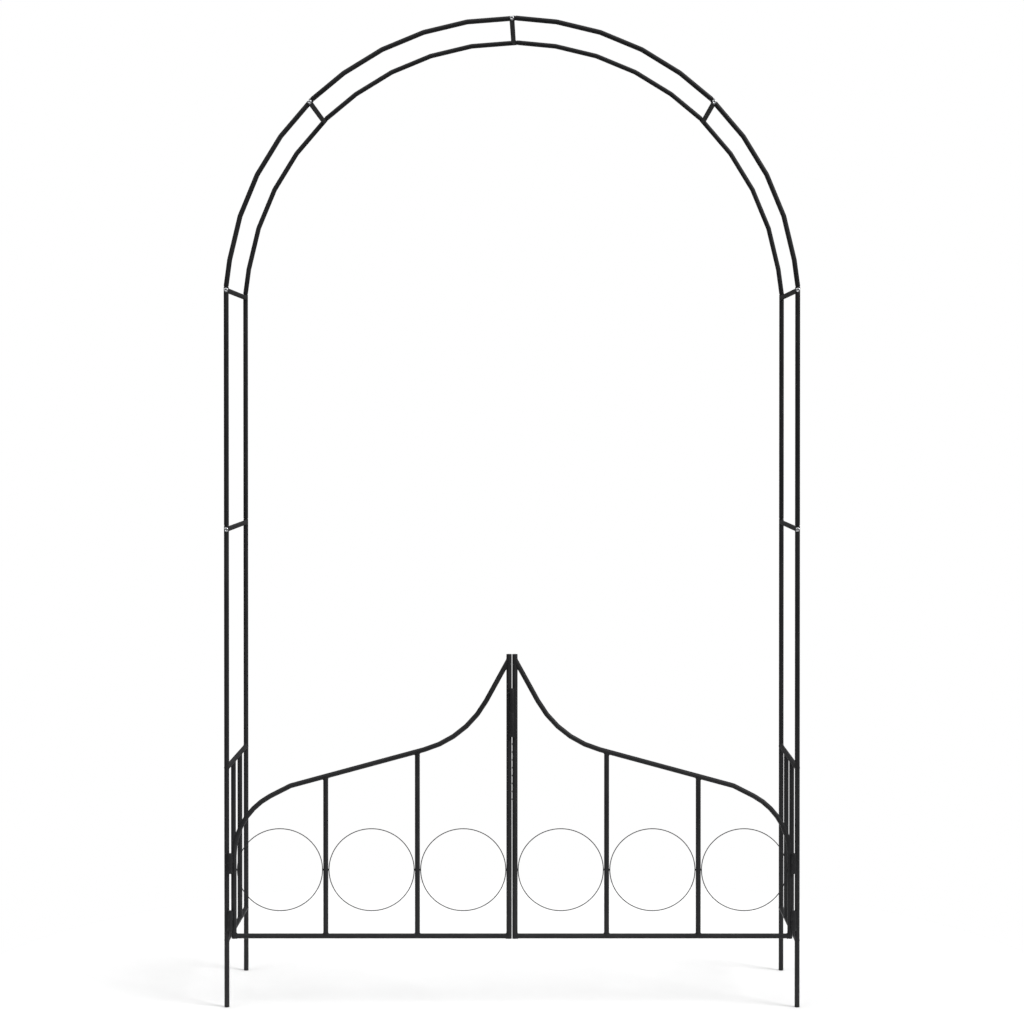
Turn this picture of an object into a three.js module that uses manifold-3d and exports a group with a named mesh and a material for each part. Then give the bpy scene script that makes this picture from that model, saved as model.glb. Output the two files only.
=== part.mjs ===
// Garden arch of steel tube with a two-leaf gate, in millimetres.
// X runs across the passage, Y from the gate side to the back, Z up; the legs stand on Z = 0.
import * as THREE from 'three';
import { mergeVertices } from 'three/addons/utils/BufferGeometryUtils.js';
import Module from 'manifold-3d';

const wasm = await Module();
wasm.setup();

// ---- driving dimensions ----
const tubeRadius = 6;
const boreRadius = 5.2;           // to the corners of the bore's section
const touchGap = 0.3;             // between faces that touch
const tubeSides = 12;
const smallSides = 8;             // of bores, bolt holes and the knob
const weldTolerance = 1e-3;       // corners closer than this are one corner
const crossingReach = 36;         // each way along a crossing tube, past the widest slanted end
const joinOverlap = 1;            // how far two solids that become one reach into each other

const legOffset = 684;            // from the middle to a leg's centre line
const hoopSpacing = 388;          // between the centre planes of the front and back hoops
const lowerJointHeight = 1146;    // where an upper leg plugs into a lower leg
const upperJointHeight = 1719;    // where the arch plugs into an upper leg
const archRadius = 684;
const archCentreHeight = 1684.4;
const archKink = 9;               // degrees between the bends of the arch
const shoulderAngle = 45;         // degrees from the crown to the joint in each side of the arch
const firstArchBend = 81;         // degrees from the crown to the lowest bend

const seamOffset = 8;             // from a joint's bolt to the end of the outer tube
const spigotNarrowing = 1.5;      // how far a narrowed end's wall is drawn in
const spigotLength = 28;
const neckLength = 1.5;

const boltHoleRadius = 3.05;
const endThickness = 2;           // of the disc that closes a leg's foot or a stile's top

const sideTopHeight = 574;        // rails of the panel that joins a front leg to a back leg
const sideBottomHeight = 160;

const gateBottomHeight = 170.4;   // centre line of a leaf's bottom rail
const innerStileRadius = 6.4;
const innerStileBore = 5.6;
const innerStileOffset = 7.05;
const gatePitch = 219.8;          // between neighbouring uprights of a leaf
const innerStileTop = 847;
const railStartHeight = 834.8;    // where the swept top rail meets the inner stile
const railStartSlope = 61.2;      // degrees below level, going outwards
const railSlope = 15.14;
const innerBendRadius = 242;
const innerBendSteps = 5;
const cornerRadius = 163.6;
const cornerCentreHeight = 362.1;
const cornerStart = 28;           // degrees past upright, seen from the corner's centre
const cornerSteps = 7;
const railEndOffset = 531;        // where the straight stretch of the rail ends
const railEndHeight = 531.2;

const ringHeight = 329.6;
const ringWireRadius = 1.1;
const ringWireSides = 5;
const ringSteps = 24;
const ringHalfHeight = 98.4;

const knuckleRadius = 6.25;
const knuckleLength = 24;
const hingeBoreRadius = 3.5;
const hingePinRadius = 3;
const hingeBottoms = { lower: 184.4, upper: 321.7 };

const latchBottom = 650;
const latchHalfLength = 57.7;
const latchBoreRadius = 3.6;
const latchBoltRadius = 3.2;
const latchBoltLength = 50;
const latchBoltInset = 3;         // from the sleeve's lower end up to the bolt's lower end
const latchTravel = 40;
const knobHeight = 756;
const knobThreadRadius = 1.5;
const knobRadius = 2.2;
const knobReach = 11;
const slotClearance = 0.6;
const knobDirection = 190;        // degrees from +X, so the knob points to the left and a little forwards

// ---- worked-out places ----
const outerStileOffset = innerStileOffset + 3 * gatePitch;
const hingeOffset = (legOffset + outerStileOffset) / 2;
const nestedDistance = tubeRadius + knuckleRadius + touchGap;
const hingeForward = Math.sqrt(nestedDistance ** 2 - ((legOffset - outerStileOffset) / 2) ** 2);
const latchDistance = innerStileRadius + knuckleRadius + touchGap;
const latchForward = Math.sqrt(latchDistance ** 2 - innerStileOffset ** 2);
// The latch barrels are the foremost parts and the back legs are the rearmost ones.
const frontPlane = -(hoopSpacing + tubeRadius - latchForward - knuckleRadius) / 2;
const backPlane = frontPlane + hoopSpacing;

// ---- materials ----
function finish(colour, roughness, metalness) {
  return new THREE.MeshStandardMaterial({ color: colour, roughness, metalness });
}

const blackCoat = finish(0x1e1e20, 0.45, 0.3);
const zinc = finish(0xc4c6c8, 0.3, 0.9);

// ---- shape helpers ----
function radians(degrees) {
  return (degrees * Math.PI) / 180;
}

function point(x, y, z) {
  return new THREE.Vector3(x, y, z);
}

// A regular polygon with its corners on a circle.
function circle(radius, sides) {
  const corners = [];
  for (let i = 0; i < sides; i += 1) {
    const angle = (2 * Math.PI * i) / sides;
    corners.push(new THREE.Vector2(radius * Math.cos(angle), radius * Math.sin(angle)));
  }
  return corners;
}

// A path of straight stretches whose section at each corner lies in the mitre plane.
class KinkedPath extends THREE.Curve {
  constructor(corners) {
    super();
    this.corners = corners;
  }

  getPointAt(u, target = new THREE.Vector3()) {
    const last = this.corners.length - 1;
    return target.copy(this.corners[Math.round(u * last)]);
  }

  getTangentAt(u, target = new THREE.Vector3()) {
    const last = this.corners.length - 1;
    const here = Math.round(u * last);
    const before = this.corners[Math.max(here - 1, 0)];
    const after = this.corners[Math.min(here + 1, last)];
    const centre = this.corners[here];
    const arriving = centre.clone().sub(before).normalize();
    const leaving = after.clone().sub(centre).normalize();
    return target.addVectors(arriving, leaving).normalize();
  }
}

// A tube, or a rod where bore is 0, that follows the corners.
function tubeAlong(corners, radius, bore, sides = tubeSides) {
  const section = new THREE.Shape(circle(radius, sides));
  if (bore > 0) {
    section.holes.push(new THREE.Path(circle(bore, smallSides)));
  }
  const steps = corners.length - 1;
  return new THREE.ExtrudeGeometry(section, { steps, extrudePath: new KinkedPath(corners) });
}

function solid(geometry) {
  const bare = geometry.clone();
  bare.deleteAttribute('normal');
  bare.deleteAttribute('uv');
  const merged = mergeVertices(bare, weldTolerance);
  const vertProperties = merged.getAttribute('position').array;
  const triVerts = Uint32Array.from(merged.getIndex().array);
  return new wasm.Manifold(new wasm.Mesh({ numProp: 3, vertProperties, triVerts }));
}

function geometryOf(manifold) {
  const mesh = manifold.getMesh();
  const geometry = new THREE.BufferGeometry();
  geometry.setAttribute('position', new THREE.BufferAttribute(mesh.vertProperties, 3));
  geometry.setIndex(new THREE.BufferAttribute(mesh.triVerts, 1));
  geometry.computeVertexNormals();
  return geometry;
}

// Room for a crossing tube, cut out of whatever ends on its centre line.
function crossingRoom({ centre, direction, radius = tubeRadius }) {
  const reach = direction.clone().multiplyScalar(crossingReach);
  const ends = [centre.clone().sub(reach), centre.clone().add(reach)];
  const room = (radius + touchGap) / Math.cos(Math.PI / tubeSides);
  return solid(tubeAlong(ends, room, 0));
}

// A straight tube between the centre lines of two crossing tubes, shaped at each end to sit on them.
function welded(start, end) {
  return geometryOf(
    solid(tubeAlong([start.centre, end.centre], tubeRadius, boreRadius))
      .subtract(crossingRoom(start))
      .subtract(crossingRoom(end)),
  );
}

// A straight tube that is open at the start and closed by a disc at the end.
function closedTube(start, end, radius = tubeRadius, bore = boreRadius) {
  const along = end.clone().sub(start).normalize();
  const boreStart = start.clone().sub(along);
  const boreEnd = end.clone().addScaledVector(along, -endThickness);
  return solid(tubeAlong([start, end], radius, 0)).subtract(
    solid(tubeAlong([boreStart, boreEnd], bore, 0)),
  );
}

const up = point(0, 0, 1);
const back = point(0, 1, 0);

const arch = new THREE.Group();

function addPart(name, geometry, material) {
  const mesh = new THREE.Mesh(geometry, material);
  mesh.name = name;
  arch.add(mesh);
}

// ---- hoops ----
function onArch(side, angle, plane) {
  const x = side * archRadius * Math.sin(radians(angle));
  return point(x, plane, archCentreHeight + archRadius * Math.cos(radians(angle)));
}

// The bends of the arch between two angles from the crown, from the lower one upwards.
function archBends(side, from, to, plane) {
  const bends = [];
  for (let angle = from; angle >= to; angle -= archKink) {
    bends.push(onArch(side, angle, plane));
  }
  return bends;
}

function heading(from, to) {
  return to.clone().sub(from).normalize();
}

function beyond(place, direction, distance) {
  return place.clone().addScaledVector(direction, distance);
}

// Draws a tube's wall in beyond the seam, so that its end plugs into the tube that it meets there.
function narrowEnd(tube, { seam, direction }) {
  const place = tube.getAttribute('position');
  const corner = new THREE.Vector3();
  for (let i = 0; i < place.count; i += 1) {
    corner.fromBufferAttribute(place, i).sub(seam);
    const along = corner.dot(direction);
    if (along > -touchGap) {
      corner.addScaledVector(direction, -along);
      corner.setLength(corner.length() - spigotNarrowing);
      corner.addScaledVector(direction, along).add(seam);
      place.setXYZ(i, corner.x, corner.y, corner.z);
    }
  }
}

function boltHole(joint) {
  const reach = 2 * tubeRadius;
  const ends = [beyond(joint, back, -reach), beyond(joint, back, reach)];
  return solid(tubeAlong(ends, boltHoleRadius, 0, smallSides));
}

// One tube of a hoop. Each plug describes a narrowed end, and each joint is a bolt's place.
function hoopTube(corners, plugs, joints) {
  const wall = tubeAlong(corners, tubeRadius, boreRadius);
  for (const plug of plugs) {
    narrowEnd(wall, plug);
  }
  let tube = solid(wall);
  for (const joint of joints) {
    tube = tube.subtract(boltHole(joint));
  }
  return geometryOf(tube);
}

// The narrowed end that goes into a tube which arrives at the joint, with its corners from the tip out.
function plugInto(joint, arriving) {
  const seam = beyond(joint, arriving, seamOffset + touchGap);
  const tip = beyond(seam, arriving, -spigotLength);
  const neck = beyond(seam, arriving, neckLength);
  return { seam, corners: [tip, seam, neck], direction: arriving.clone().negate() };
}

function hoopJoints(side, plane) {
  return {
    foot: point(side * legOffset, plane, 0),
    lower: point(side * legOffset, plane, lowerJointHeight),
    upper: point(side * legOffset, plane, upperJointHeight),
    shoulder: onArch(side, shoulderAngle, plane),
    crown: onArch(side, 0, plane),
  };
}

function shoulderHeading(side, plane) {
  return heading(onArch(side, shoulderAngle + archKink, plane), onArch(side, shoulderAngle, plane));
}

function crownHeading(plane) {
  return heading(onArch(-1, archKink, plane), onArch(-1, 0, plane));
}

function buildHoopSide(name, side, plane) {
  const joints = hoopJoints(side, plane);
  const legTop = beyond(joints.lower, up, seamOffset);
  const lowerLeg = closedTube(legTop, joints.foot).subtract(boltHole(joints.lower));
  addPart(`${name}_lower_leg`, geometryOf(lowerLeg), blackCoat);

  const legPlug = plugInto(joints.lower, up);
  const upperLeg = [...legPlug.corners, beyond(joints.upper, up, seamOffset)];
  addPart(`${name}_upper_leg`, hoopTube(upperLeg, [legPlug], [joints.lower, joints.upper]), blackCoat);

  const lowerPlug = plugInto(joints.upper, up);
  const shoulder = shoulderHeading(side, plane);
  const lowerArch = [
    ...lowerPlug.corners,
    ...archBends(side, firstArchBend, shoulderAngle + archKink, plane),
    beyond(joints.shoulder, shoulder, seamOffset),
  ];
  addPart(`${name}_lower_arch`, hoopTube(lowerArch, [lowerPlug], [joints.upper, joints.shoulder]), blackCoat);

  // At the crown the left tube runs on over the joint and the right tube plugs into it.
  const upperPlug = plugInto(joints.shoulder, shoulder);
  const crownPlug = plugInto(joints.crown, crownHeading(plane));
  const crownEnd = side < 0
    ? [beyond(joints.crown, crownHeading(plane), seamOffset)]
    : crownPlug.corners.toReversed();
  const upperArch = [
    ...upperPlug.corners,
    ...archBends(side, shoulderAngle - archKink, archKink, plane),
    ...crownEnd,
  ];
  const plugs = side < 0 ? [upperPlug] : [upperPlug, crownPlug];
  addPart(`${name}_upper_arch`, hoopTube(upperArch, plugs, [joints.shoulder, joints.crown]), blackCoat);
}

// ---- rungs between the hoops ----
function rung(x, z, direction) {
  const front = { centre: point(x, frontPlane, z), direction };
  return welded(front, { centre: point(x, backPlane, z), direction });
}

// The front end of every rung, with the direction of the hoop tube that it sits on.
function rungPlaces() {
  const places = [];
  for (const [name, side] of [['left', -1], ['right', 1]]) {
    const joints = hoopJoints(side, frontPlane);
    places.push({ name: `${name}_lower_rung`, place: joints.lower, across: up });
    places.push({ name: `${name}_upper_rung`, place: joints.upper, across: up });
    const across = shoulderHeading(side, frontPlane);
    places.push({ name: `${name}_shoulder_rung`, place: joints.shoulder, across });
  }
  const crown = hoopJoints(1, frontPlane).crown;
  places.push({ name: 'crown_rung', place: crown, across: crownHeading(frontPlane) });
  return places;
}

function buildRungs() {
  for (const { name, place, across } of rungPlaces()) {
    addPart(name, rung(place.x, place.z, across), blackCoat);
  }
}

// ---- panels between the front and back legs ----
function buildSidePanel(name, side) {
  const x = side * legOffset;
  for (const [rail, height] of [['top', sideTopHeight], ['bottom', sideBottomHeight]]) {
    addPart(`${name}_side_${rail}_rail`, rung(x, height, up), blackCoat);
  }
  for (const [bar, third] of [['front', 1], ['back', 2]]) {
    const y = frontPlane + (third * hoopSpacing) / 3;
    const low = { centre: point(x, y, sideBottomHeight), direction: back };
    const high = { centre: point(x, y, sideTopHeight), direction: back };
    addPart(`${name}_side_${bar}_bar`, welded(low, high), blackCoat);
  }
}

// ---- gate leaves ----
// The centre line of a leaf's frame tube, from the inner stile out along the swept rail and down.
function frameCorners() {
  const corners = [[innerStileOffset, railStartHeight]];
  const startSlope = Math.tan(radians(railStartSlope));
  const slope = Math.tan(radians(railSlope));
  const cornerX = outerStileOffset - cornerRadius;
  // The two straight stretches would meet at the knee; the inner bend rounds it.
  const rise = railStartHeight - railEndHeight - slope * (railEndOffset - innerStileOffset);
  const kneeX = innerStileOffset + rise / (startSlope - slope);
  const kneeZ = railStartHeight - startSlope * (kneeX - innerStileOffset);
  const turn = railStartSlope - railSlope;
  const tangent = innerBendRadius * Math.tan(radians(turn / 2));
  const bendX = kneeX - tangent * Math.cos(radians(railStartSlope));
  const bendZ = kneeZ + tangent * Math.sin(radians(railStartSlope));
  const centreX = bendX + innerBendRadius * Math.sin(radians(railStartSlope));
  const centreZ = bendZ + innerBendRadius * Math.cos(radians(railStartSlope));
  for (let i = 0; i <= innerBendSteps; i += 1) {
    const angle = radians(railStartSlope - (turn * i) / innerBendSteps);
    corners.push([
      centreX - innerBendRadius * Math.sin(angle),
      centreZ - innerBendRadius * Math.cos(angle),
    ]);
  }
  corners.push([railEndOffset, railEndHeight]);
  for (let i = 0; i <= cornerSteps; i += 1) {
    const angle = radians(cornerStart + ((90 - cornerStart) * i) / cornerSteps);
    corners.push([
      cornerX + cornerRadius * Math.sin(angle),
      cornerCentreHeight + cornerRadius * Math.cos(angle),
    ]);
  }
  corners.push([outerStileOffset, gateBottomHeight - tubeRadius]);
  return corners;
}

// Height of the straight stretch of the swept rail at a distance from the middle.
function railHeight(offset) {
  return railEndHeight + Math.tan(radians(railSlope)) * (railEndOffset - offset);
}

function buildGateFrame(name, side) {
  const corners = frameCorners().map(([x, z]) => point(side * x, frontPlane, z));
  const stile = { centre: corners[0], direction: up, radius: innerStileRadius };
  const frame = solid(tubeAlong(corners, tubeRadius, boreRadius)).subtract(crossingRoom(stile));
  addPart(`${name}_gate_frame`, geometryOf(frame), blackCoat);
}

function buildInnerStile(name, side) {
  const x = side * innerStileOffset;
  const low = point(x, frontPlane, gateBottomHeight - tubeRadius);
  const top = point(x, frontPlane, innerStileTop);
  const stile = closedTube(low, top, innerStileRadius, innerStileBore);
  addPart(`${name}_gate_inner_stile`, geometryOf(stile), blackCoat);
}

function buildGateBars(name, side) {
  const outwards = point(side, 0, 0);
  const slopeDirection = point(side * Math.cos(radians(railSlope)), 0, -Math.sin(radians(railSlope)));
  for (const [bar, place] of [['inner', 1], ['outer', 2]]) {
    const offset = innerStileOffset + place * gatePitch;
    const low = { centre: point(side * offset, frontPlane, gateBottomHeight), direction: outwards };
    const top = point(side * offset, frontPlane, railHeight(offset));
    const high = { centre: top, direction: slopeDirection };
    addPart(`${name}_gate_${bar}_bar`, welded(low, high), blackCoat);
  }
  const innerEnd = point(side * innerStileOffset, frontPlane, gateBottomHeight);
  const inner = { centre: innerEnd, direction: up, radius: innerStileRadius };
  const outer = { centre: point(side * outerStileOffset, frontPlane, gateBottomHeight), direction: up };
  addPart(`${name}_gate_bottom_rail`, welded(inner, outer), blackCoat);
}

function buildRings(name, side) {
  const halfWidth = gatePitch / 2 - innerStileRadius - touchGap - ringWireRadius;
  for (const [index, ring] of ['inner', 'middle', 'outer'].entries()) {
    const geometry = new THREE.TorusGeometry(halfWidth, ringWireRadius, ringWireSides, ringSteps);
    geometry.scale(1, ringHalfHeight / halfWidth, 1);
    geometry.rotateX(Math.PI / 2);
    const offset = innerStileOffset + (index + 0.5) * gatePitch;
    geometry.translate(side * offset, frontPlane, ringHeight);
    addPart(`${name}_gate_${ring}_ring`, geometry, blackCoat);
  }
}

// ---- hinges ----
function barrel(x, y, bottom, length, radius, bore) {
  return tubeAlong([point(x, y, bottom), point(x, y, bottom + length)], radius, bore);
}

// Each hinge is a pintle, a barrel with a pin on top that is welded to the leg, and an eye on the gate.
function buildHinges(name, side) {
  const x = side * hingeOffset;
  const y = frontPlane - hingeForward;
  for (const [place, bottom] of Object.entries(hingeBottoms)) {
    const seat = solid(barrel(x, y, bottom, knuckleLength, knuckleRadius, 0));
    const pinLength = 2 * knuckleLength - joinOverlap;
    const pin = solid(barrel(x, y, bottom + joinOverlap, pinLength, hingePinRadius, 0));
    addPart(`${name}_${place}_hinge_pintle`, geometryOf(seat.add(pin)), blackCoat);
    const eyeBottom = bottom + knuckleLength + touchGap;
    const eye = barrel(x, y, eyeBottom, knuckleLength, knuckleRadius, hingeBoreRadius);
    addPart(`${name}_${place}_hinge_eye`, eye, blackCoat);
  }
}

// ---- latch ----
function latchSlot(y) {
  const width = 2 * (knobRadius + slotClearance);
  const height = latchTravel + width;
  const depth = 2 * knuckleRadius;
  const slot = new THREE.BoxGeometry(depth, width, height);
  slot.translate(depth / 2, 0, knobHeight - latchTravel / 2);
  slot.rotateZ(radians(knobDirection));
  slot.translate(0, y, 0);
  return solid(slot);
}

// A bolt slides down out of the sleeve on the left leaf into the keeper on the right leaf.
function buildLatch() {
  const y = frontPlane - latchForward;
  const sleeveBottom = latchBottom + latchHalfLength + touchGap;
  const sleeve = solid(barrel(0, y, sleeveBottom, latchHalfLength, knuckleRadius, latchBoreRadius));
  addPart('latch_sleeve', geometryOf(sleeve.subtract(latchSlot(y))), blackCoat);
  const keeper = barrel(0, y, latchBottom, latchHalfLength, knuckleRadius, latchBoreRadius);
  addPart('latch_keeper', keeper, blackCoat);

  const angle = radians(knobDirection);
  const knobAxis = point(Math.cos(angle), Math.sin(angle), 0);
  const root = point(0, y, knobHeight);
  const seat = beyond(root, knobAxis, latchBoltRadius + touchGap);
  const tip = beyond(root, knobAxis, knobReach);
  const hole = tubeAlong([root, seat], knobThreadRadius + touchGap, 0, smallSides);
  const rod = barrel(0, y, sleeveBottom + latchBoltInset, latchBoltLength, latchBoltRadius, 0);
  addPart('latch_bolt', geometryOf(solid(rod).subtract(solid(hole))), zinc);
  const knob = tubeAlong([seat, tip], knobRadius, 0, smallSides);
  const studStart = beyond(root, knobAxis, touchGap);
  const studEnd = beyond(seat, knobAxis, joinOverlap);
  const knobStud = tubeAlong([studStart, studEnd], knobThreadRadius, 0, smallSides);
  addPart('latch_knob', geometryOf(solid(knob).add(solid(knobStud))), blackCoat);
}

// ---- assembly ----
for (const [plane, depth] of [['front', frontPlane], ['back', backPlane]]) {
  for (const [name, side] of [['left', -1], ['right', 1]]) {
    buildHoopSide(`${plane}_${name}`, side, depth);
  }
}
buildRungs();
for (const [name, side] of [['left', -1], ['right', 1]]) {
  buildSidePanel(name, side);
  buildGateFrame(name, side);
  buildInnerStile(name, side);
  buildGateBars(name, side);
  buildRings(name, side);
  buildHinges(name, side);
}
buildLatch();

export default arch;
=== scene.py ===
import math

import bmesh
import bpy
from mathutils import Euler, Matrix, Vector


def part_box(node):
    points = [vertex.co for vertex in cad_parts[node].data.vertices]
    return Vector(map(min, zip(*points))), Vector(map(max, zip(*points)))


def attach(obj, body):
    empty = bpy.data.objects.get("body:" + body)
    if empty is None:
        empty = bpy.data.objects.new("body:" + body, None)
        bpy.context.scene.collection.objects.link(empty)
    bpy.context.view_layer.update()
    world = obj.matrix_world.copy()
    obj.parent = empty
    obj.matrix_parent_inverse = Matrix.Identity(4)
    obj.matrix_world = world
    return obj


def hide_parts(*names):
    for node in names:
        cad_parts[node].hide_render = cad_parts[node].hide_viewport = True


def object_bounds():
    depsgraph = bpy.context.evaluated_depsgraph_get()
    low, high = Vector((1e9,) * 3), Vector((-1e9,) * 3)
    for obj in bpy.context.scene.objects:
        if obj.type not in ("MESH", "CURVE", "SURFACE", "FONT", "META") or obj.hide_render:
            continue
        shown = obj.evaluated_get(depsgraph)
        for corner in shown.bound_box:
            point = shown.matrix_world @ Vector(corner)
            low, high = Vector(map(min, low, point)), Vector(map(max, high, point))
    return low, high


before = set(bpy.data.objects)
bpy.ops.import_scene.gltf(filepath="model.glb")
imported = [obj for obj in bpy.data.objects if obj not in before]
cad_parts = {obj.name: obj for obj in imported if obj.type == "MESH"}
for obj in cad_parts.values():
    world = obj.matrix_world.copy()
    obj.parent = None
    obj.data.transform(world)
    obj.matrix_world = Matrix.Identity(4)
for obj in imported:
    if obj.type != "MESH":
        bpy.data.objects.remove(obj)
cad_low, cad_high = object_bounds()

# Looks of a garden arch of black coated tube with a two-leaf gate. Lengths are in millimetres here,
# and each mesh is made in metres.
MM = 0.001

# ---- driving dimensions of the tubes ----
TUBE_RADIUS = 6.0
STILE_RADIUS = 6.4              # of the two uprights that carry the latch
WALL = 0.9
TUBE_SIDES = 36
BEND_RADIUS = 22.0              # of each pressed kink
BEND_STEPS = 4
RIM_EASE = 0.25                 # how far a cut edge is rounded
RIM_STEPS = (1.0, 0.6, 0.3, 0.08, 0.0)    # shares of it, from the tube's end
TOUCH_GAP = 0.3                 # between faces that touch in the CAD model
WELD_GAP = 0.05                 # between a shaped end and the tube that it sits on
END_THICKNESS = 2.0             # of the disc that closes a foot or a stile's top

SEAM_OFFSET = 8.0               # from a joint's bolt to the end of the outer tube
SPIGOT_LENGTH = 28.0
SPIGOT_RADIUS = 4.85
NECK_LENGTH = 1.8
NECK_STEPS = 4

# ---- driving dimensions of the bolted joints ----
BOLT_RADIUS = 2.95
BOLT_HOLE_RADIUS = 3.05
BOLT_LENGTH = 24.0
BOLT_HEAD_RADIUS = 5.4
BOLT_HEAD_HEIGHT = 2.9
BOLT_TIP_CHAMFER = 1.0
BOLT_NECK_FILLET = 0.4
BOLT_TURN = 37                  # degrees that each bolt is turned further than the one before
SOCKET_HALF_WIDTH = 2.2
SOCKET_DEPTH = 1.9
THREAD_PITCH = 1.0
THREAD_DEPTH = 0.45
INSERT_LENGTH = 18.0
INSERT_CHAMFER = 0.4
SMALL_SIDES = 48                # of a turned piece

# ---- driving dimensions of the arch ----
ARCH_RADIUS = 684.0
ARCH_KINK = 9                   # degrees between the bends
FIRST_ARCH_BEND = 81            # degrees from the crown to the lowest bend
SHOULDER_ANGLE = 45             # degrees from the crown to the joint in each side

# ---- driving dimensions of a gate leaf ----
RAIL_START_HEIGHT = 834.8       # where the swept rail meets the inner stile
RAIL_START_SLOPE = 61.2         # degrees below level, going outwards
RAIL_SLOPE = 15.14
INNER_BEND_RADIUS = 242.0
INNER_BEND_STEPS = 5
RAIL_END = (531.0, 531.2)       # distance from the middle and height where the straight rail ends
CORNER_RADIUS = 163.6
CORNER_CENTRE_HEIGHT = 362.1
CORNER_START = 28               # degrees past upright, seen from the corner's centre
CORNER_STEPS = 7
WIRE_RADIUS = 1.1
WIRE_SIDES = 12
WIRE_STEPS = 144

# ---- driving dimensions of welds, hinges and latch ----
BEAD_RADIUS = 1.1
BEAD_SIDES = 10
BEAD_STEPS = 72
BEAD_STAND_OFF = 0.35           # share of a bead's radius between its middle and the joint line
BEAD_THINNING = 0.6             # share that a bead loses where it lies on a flat rather than in a corner
RIPPLE = 0.11                   # share of a bead's radius
RIPPLE_PITCH = 1.9
SEAM_RINGS_PER_MM = 3
SEAM_TAPER = 1.5                # bead's radii over which an upright bead narrows to its end
SEAM_TIP = 0.04                 # square of the share of its radius that is left at its end
TACK_LENGTH = 5.0
TACK_RADIUS = 0.9
STOP_COUNT = 8                  # beads between the two inner stiles
STOP_PITCH = 18.9               # downwards from the latch
STOP_LENGTH = 4.5

KNUCKLE_RADIUS = 6.25
KNUCKLE_CHAMFER = 0.5
KNUCKLE_EASE = 0.15             # how far the chamfer's middle stands in from the barrel's corner
HINGE_PIN_RADIUS = 3.0
HINGE_PIN_TIP = 1.0             # radius of the rounding at the pin's top
HINGE_BORE_RADIUS = 3.4
HINGE_WELD_INSET = 1            # from a barrel's end to the bead beside it

LATCH_BORE_RADIUS = 3.6
LATCH_BOLT_RADIUS = 3.2
LATCH_TRAVEL = 40.0
LATCH_WELD_INSET = 3            # from a barrel's end to the nearest bead
LATCH_WELD_LENGTH = 12
KNOB_RADIUS = 2.2
KNOB_THREAD_RADIUS = 1.5
KNOB_REACH = 11.0               # from the bolt's axis to the knob's end
KNURL_GROOVES = 12
KNURL_DEPTH = 0.12              # half the depth of a groove
SLOT_CLEARANCE = 0.6
SLOT_STEPS = 12                 # in each round end of the slot
KNOB_DIRECTION = 190            # degrees from +X

X = Vector((1, 0, 0))
Y = Vector((0, 1, 0))
Z = Vector((0, 0, 1))
SIDES = (("left", -1), ("right", 1))


# ---- places in the CAD model ----
def low_corner(node):
    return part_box(node)[0] / MM


def high_corner(node):
    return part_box(node)[1] / MM


def middle(node):
    return (low_corner(node) + high_corner(node)) / 2


PLANES = {
    "front": middle("front_left_lower_leg").y,
    "back": middle("back_left_lower_leg").y,
}
LEG_OFFSET = middle("front_right_lower_leg").x
LOWER_JOINT = high_corner("front_left_lower_leg").z - SEAM_OFFSET
UPPER_JOINT = high_corner("front_left_upper_leg").z - SEAM_OFFSET
CROWN_HEIGHT = middle("crown_rung").z
ARCH_CENTRE_HEIGHT = CROWN_HEIGHT - ARCH_RADIUS
INNER_STILE_OFFSET = middle("right_gate_inner_stile").x
INNER_STILE_TOP = high_corner("right_gate_inner_stile").z
STILE_BOTTOM = low_corner("right_gate_inner_stile").z
GATE_BOTTOM_HEIGHT = middle("right_gate_bottom_rail").z
BAR_OFFSETS = {bar: middle(f"right_gate_{bar}_bar").x for bar in ("inner", "outer")}
OUTER_STILE_OFFSET = 2 * BAR_OFFSETS["outer"] - BAR_OFFSETS["inner"]


# ---- shapes made of rings of points ----
class Shape:
    """Corners and faces of one piece, which may be several closed bodies."""

    def __init__(self):
        self.corners = []
        self.faces = []

    def add_rings(self, rings, closed=False):
        """Joins each ring to the next. Either the last is joined to the first, or both ends are capped."""
        sides = len(rings[0])
        start = len(self.corners)
        for ring in rings:
            self.corners.extend(ring)
        for i in range(len(rings) if closed else len(rings) - 1):
            here = start + i * sides
            there = start + (i + 1) % len(rings) * sides
            for k in range(sides):
                after = (k + 1) % sides
                self.faces.append((here + k, here + after, there + after, there + k))
        if not closed:
            last = start + (len(rings) - 1) * sides
            self.faces.append(tuple(range(start + sides - 1, start - 1, -1)))
            self.faces.append(tuple(range(last, last + sides)))
        return self


def ring_at(centre, first, second, radius, sides=TUBE_SIDES):
    """A round ring of points about a centre, in the plane of two directions."""
    ring = []
    for i in range(sides):
        angle = 2 * math.pi * i / sides
        ring.append(centre + radius * (math.cos(angle) * first + math.sin(angle) * second))
    return ring


def heading(start, end):
    return (end - start).normalized()


def rings_along(stations, normal, sides=TUBE_SIDES):
    """Rings about each (point, radius) of a flat path that is square to normal, with mitred corners."""
    rings = []
    for i, (point, radius) in enumerate(stations):
        before = stations[max(i - 1, 0)][0]
        after = stations[min(i + 1, len(stations) - 1)][0]
        arriving = heading(before, point) if i else heading(point, after)
        leaving = heading(point, after) if after != point else arriving
        tangent = (arriving + leaving).normalized()
        side = tangent.cross(normal).normalized()
        rings.append(ring_at(point, normal, side / tangent.dot(arriving), radius, sides))
    return rings


def turned(profile, sides=SMALL_SIDES):
    """Rings about the Z axis through (radius, height) pairs."""
    return [ring_at(height * Z, X, Y, radius, sides) for radius, height in profile]


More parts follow.
